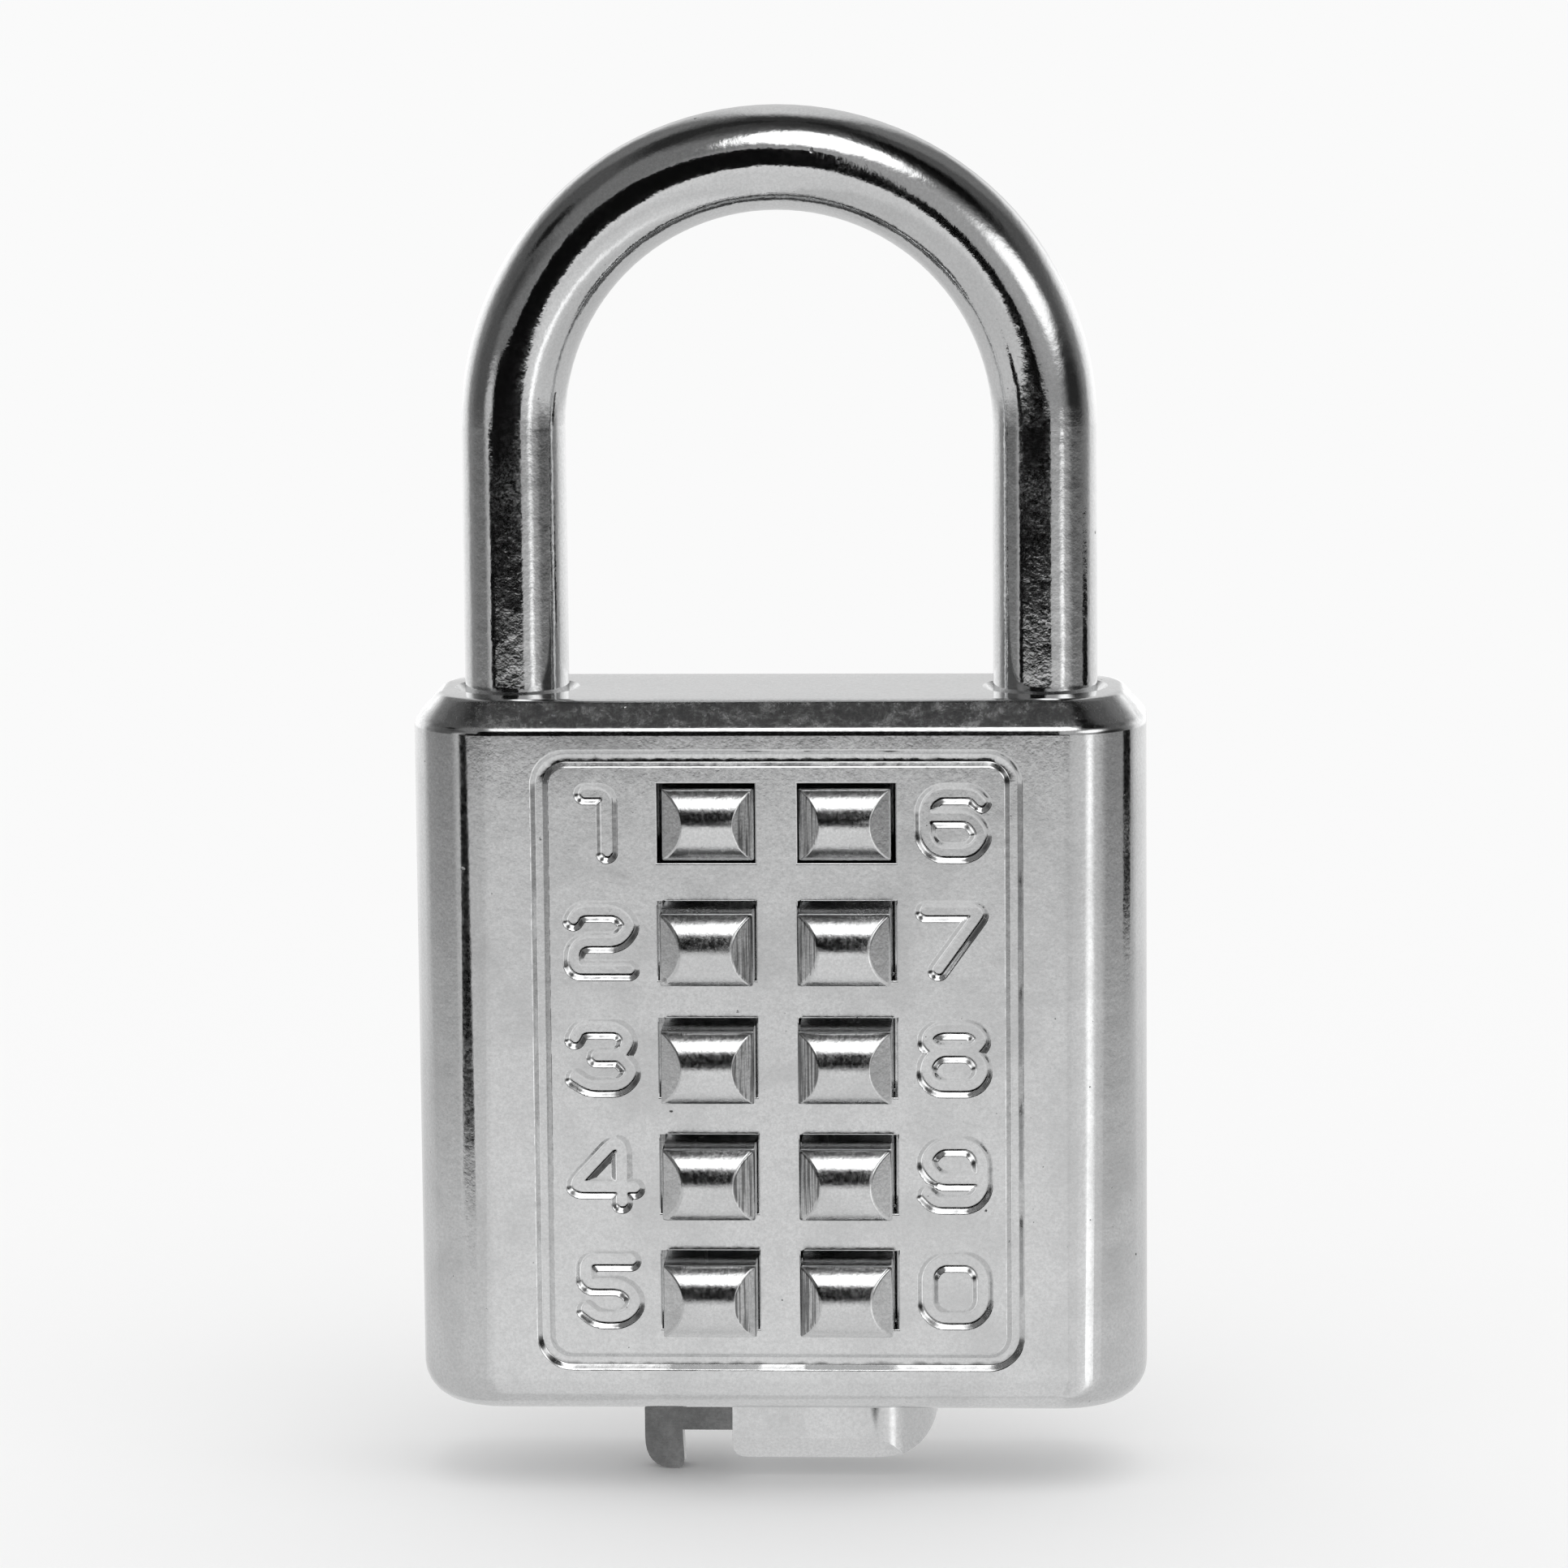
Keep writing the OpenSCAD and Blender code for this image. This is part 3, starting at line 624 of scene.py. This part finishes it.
def floor_and_light(level):
    """A wide pale floor at the level, and one soft lamp high above."""
    bm = bmesh.new()
    bmesh.ops.create_circle(bm, cap_ends=True, segments=96, radius=8)
    bmesh.ops.translate(bm, verts=bm.verts, vec=(0, 0, level))
    mesh = bpy.data.meshes.new("floor")
    bm.to_mesh(mesh)
    bm.free()
    floor = bpy.data.objects.new("floor", mesh)
    bpy.context.scene.collection.objects.link(floor)
    floor.visible_glossy = False
    material = bpy.data.materials.new("floor_paper")
    material.use_nodes = True
    t = Tree(material.node_tree)
    shader = t.add("ShaderNodeBsdfDiffuse")
    shader.inputs[0].default_value = (0.93, 0.93, 0.93, 1)
    t.put(shader.outputs[0], t.add("ShaderNodeOutputMaterial").inputs[0])
    floor.data.materials.append(material)

    lamp = bpy.data.lights.new("key", "SUN")
    lamp.energy = 0.5
    lamp.angle = math.radians(50)
    sun = bpy.data.objects.new("key", lamp)
    sun.rotation_euler = (math.radians(18), math.radians(12), 0)
    sun.visible_glossy = False
    bpy.context.scene.collection.objects.link(sun)


# What the chrome mirrors, as soft panels: where its middle is, how wide and how high it is from there,
# how soft its edge is, and how bright it is. Turns are in degrees, with 0 towards the keypad's reader and
# + to the right, and heights in degrees above the horizon.
PANELS = [
    # the ceiling, dark to the left and the right of the lamp
    ((-75, 68), (55, 12), 0.5, 0.07),
    ((60, 54), (23, 22), 0.45, 0.01),
    # the pale wall in front, the lamp above it and the window beside it
    ((22, 14), (46, 18), 0.35, 0.5),
    ((8, 48), (23, 16), 0.25, 2.6),
    ((47, 17), (19, 11), 0.4, 1.8),
    # furniture
    ((72, 0), (20, 12), 0.6, 0.06),
    ((-55, -3), (9, 6), 0.5, 0.75),
    ((-58, 20), (14, 7), 0.6, 0.13),
    ((-76, 34), (9, 6), 0.5, 0.03),
]

# What stands round the table's edge, dark, as upright screens: from and to which turn, the heights of the
# foot and the top against the table in millimetres, and the distance from the lock
SCREENS = [
    ((-55, -45), -34, 40, 262),
    ((-48, 17), -2, 38, 325),
    ((-45, 5), -2, 90, 322),
    ((-31, 4), -2, 222, 320),
    ((92, 107), -13, 21, 270),
]


def screens(level):
    """Upright dark screens that only the chrome sees."""
    bm = bmesh.new()
    for (start, end), foot, top, distance in SCREENS:
        steps = max(2, round((end - start) / 3))
        rows = []
        for k in range(steps + 1):
            angle = math.radians(start + (end - start) * k / steps)
            edge = 1 - 0.12 * abs(2 * k / steps - 1) ** 3
            out = Vector((math.sin(angle), -math.cos(angle), 0)) * distance * MM
            heights = (level + foot * MM, level + top * edge * MM)
            rows.append([bm.verts.new(out + Vector((0, 0, z))) for z in heights])
        for a, b in zip(rows, rows[1:]):
            bm.faces.new((a[0], b[0], b[1], a[1]))
    mesh = bpy.data.meshes.new("screens")
    bm.to_mesh(mesh)
    bm.free()
    obj = bpy.data.objects.new("screens", mesh)
    bpy.context.scene.collection.objects.link(obj)
    for ray in ("camera", "diffuse", "shadow", "transmission", "volume_scatter"):
        setattr(obj, "visible_" + ray, False)
    material = bpy.data.materials.new("dark_cloth")
    material.use_nodes = True
    t = Tree(material.node_tree)
    shader = t.add("ShaderNodeBsdfDiffuse")
    shader.inputs[0].default_value = (0.004, 0.004, 0.004, 1)
    t.put(shader.outputs[0], t.add("ShaderNodeOutputMaterial").inputs[0])
    mesh.materials.append(material)


def surroundings():
    """The world: a studio for what the chrome mirrors, and plain pale light for all else."""
    world = bpy.data.worlds.new("studio")
    world.use_nodes = True
    world.cycles.sampling_method = "NONE"
    bpy.context.scene.world = world
    t = Tree(world.node_tree)
    parts = t.add("ShaderNodeSeparateXYZ")
    t.put(t.add("ShaderNodeTexCoord").outputs["Generated"], parts.inputs[0])
    x, y, z = parts.outputs
    turn = t.math("DEGREES", t.math("ARCTAN2", x, t.math("MULTIPLY", y, -1.0)))
    rise = t.math("DEGREES", t.math("ARCSINE", z))
    round_back = t.math("ABSOLUTE", turn)

    def near(value, middle, reach):
        """1 at the middle, and 0 from reach on."""
        return t.remap(t.math("ABSOLUTE", t.math("SUBTRACT", value, middle)), 0, reach, 1.0, 0.0)

    # the room, grey in front and white behind the lock, under a dark ceiling
    back = t.math("MULTIPLY", t.remap(round_back, 82, 152), t.remap(rise, 12, 34, 1.0, 0.0))
    level = t.mix(back, 0.24, 1.6)
    level = t.mix(t.math("MULTIPLY", t.remap(round_back, 150, 172), t.remap(rise, 0, 8)), level, 0.88)
    level = t.mix(t.remap(rise, 58, 80), level, 0.05)
    for (turn_0, rise_0), (wide, high), edge, bright in PANELS:
        across = t.math("DIVIDE", t.math("SUBTRACT", turn, float(turn_0)), float(wide))
        up = t.math("DIVIDE", t.math("SUBTRACT", rise, float(rise_0)), float(high))
        away = t.math("SQRT", t.math("ADD", t.math("MULTIPLY", across, across), t.math("MULTIPLY", up, up)))
        level = t.mix(t.remap(away, 1 - edge, 1 + edge, 1.0, 0.0), level, bright)
    # the table's pale paper, shaded by whoever looks at the lock and lit by the window and from behind
    paper = t.mix(t.remap(rise, -30, -12), 0.74, 0.8)
    paper = t.math("MULTIPLY", paper, t.remap(near(turn, -6.0, 24), 0, 0.7, 1.0, 1.22))
    paper = t.math("ADD", paper, t.math("MULTIPLY", near(turn, 34.0, 34), 0.22))
    paper = t.math("ADD", paper, t.math("MULTIPLY", t.remap(turn, -138, -160), 0.12))
    paper = t.math("ADD", paper, t.math("MULTIPLY", t.remap(turn, 120, 175), 0.08))
    level = t.mix(t.remap(rise, -13.5, -2, 1.0, 0.0), level, paper)
    # the dark ends of the room, low down at both sides
    side = t.math("MULTIPLY", t.remap(near(round_back, 88.0, 42), 0, 0.5), t.remap(rise, -14, -8.5))
    level = t.math("MULTIPLY", level, t.math("SUBTRACT", 1.0, t.math("MULTIPLY", side, 0.5)))
    # a bright upright line to the right, from the paper up to the horizon
    low_down = t.math("MULTIPLY", t.remap(rise, -70, -12), t.remap(rise, -4, -8))
    streak = t.math("MULTIPLY", near(turn, 40.0, 8), low_down)
    level = t.math("ADD", level, t.math("MULTIPLY", streak, 0.9))

    mirrored = t.add("ShaderNodeBackground")
    t.put(level, mirrored.inputs["Strength"])
    plain = t.add("ShaderNodeBackground")
    plain.inputs["Strength"].default_value = 1.1
    both = t.add("ShaderNodeMixShader")
    t.put(t.add("ShaderNodeLightPath").outputs["Is Glossy Ray"], both.inputs[0])
    t.put(plain.outputs[0], both.inputs[1])
    t.put(mirrored.outputs[0], both.inputs[2])
    t.put(both.outputs[0], t.add("ShaderNodeOutputWorld").inputs[0])


def camera():
    """The photograph's viewpoint: a little to the right of the keypad and above it, with a slight roll."""
    turn, rise, roll = (math.radians(a) for a in (3.0, 9.2, -0.517))
    distance = 0.4185
    target = Vector((0.13 * MM, 0, CASE_TOP - 5.72 * MM))
    back = Vector((math.sin(turn) * math.cos(rise), -math.cos(turn) * math.cos(rise), math.sin(rise)))
    right = Vector((0, 0, 1)).cross(back).normalized()
    up = back.cross(right)
    right, up = math.cos(roll) * right + math.sin(roll) * up, math.cos(roll) * up - math.sin(roll) * right
    data = bpy.data.cameras.new("camera")
    data.lens = 166.65
    data.sensor_width = 36
    data.clip_start = 0.01
    data.clip_end = 50
    obj = bpy.data.objects.new("camera", data)
    place = Matrix((right, up, back)).transposed().to_4x4()
    place.translation = target + distance * back
    obj.matrix_world = place
    bpy.context.scene.collection.objects.link(obj)
    bpy.context.scene.camera = obj


floor_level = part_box("latch_bar")[0].z - 0.02 * MM
floor_and_light(floor_level)
screens(floor_level)
surroundings()
camera()
bpy.context.scene.view_settings.view_transform = "Standard"
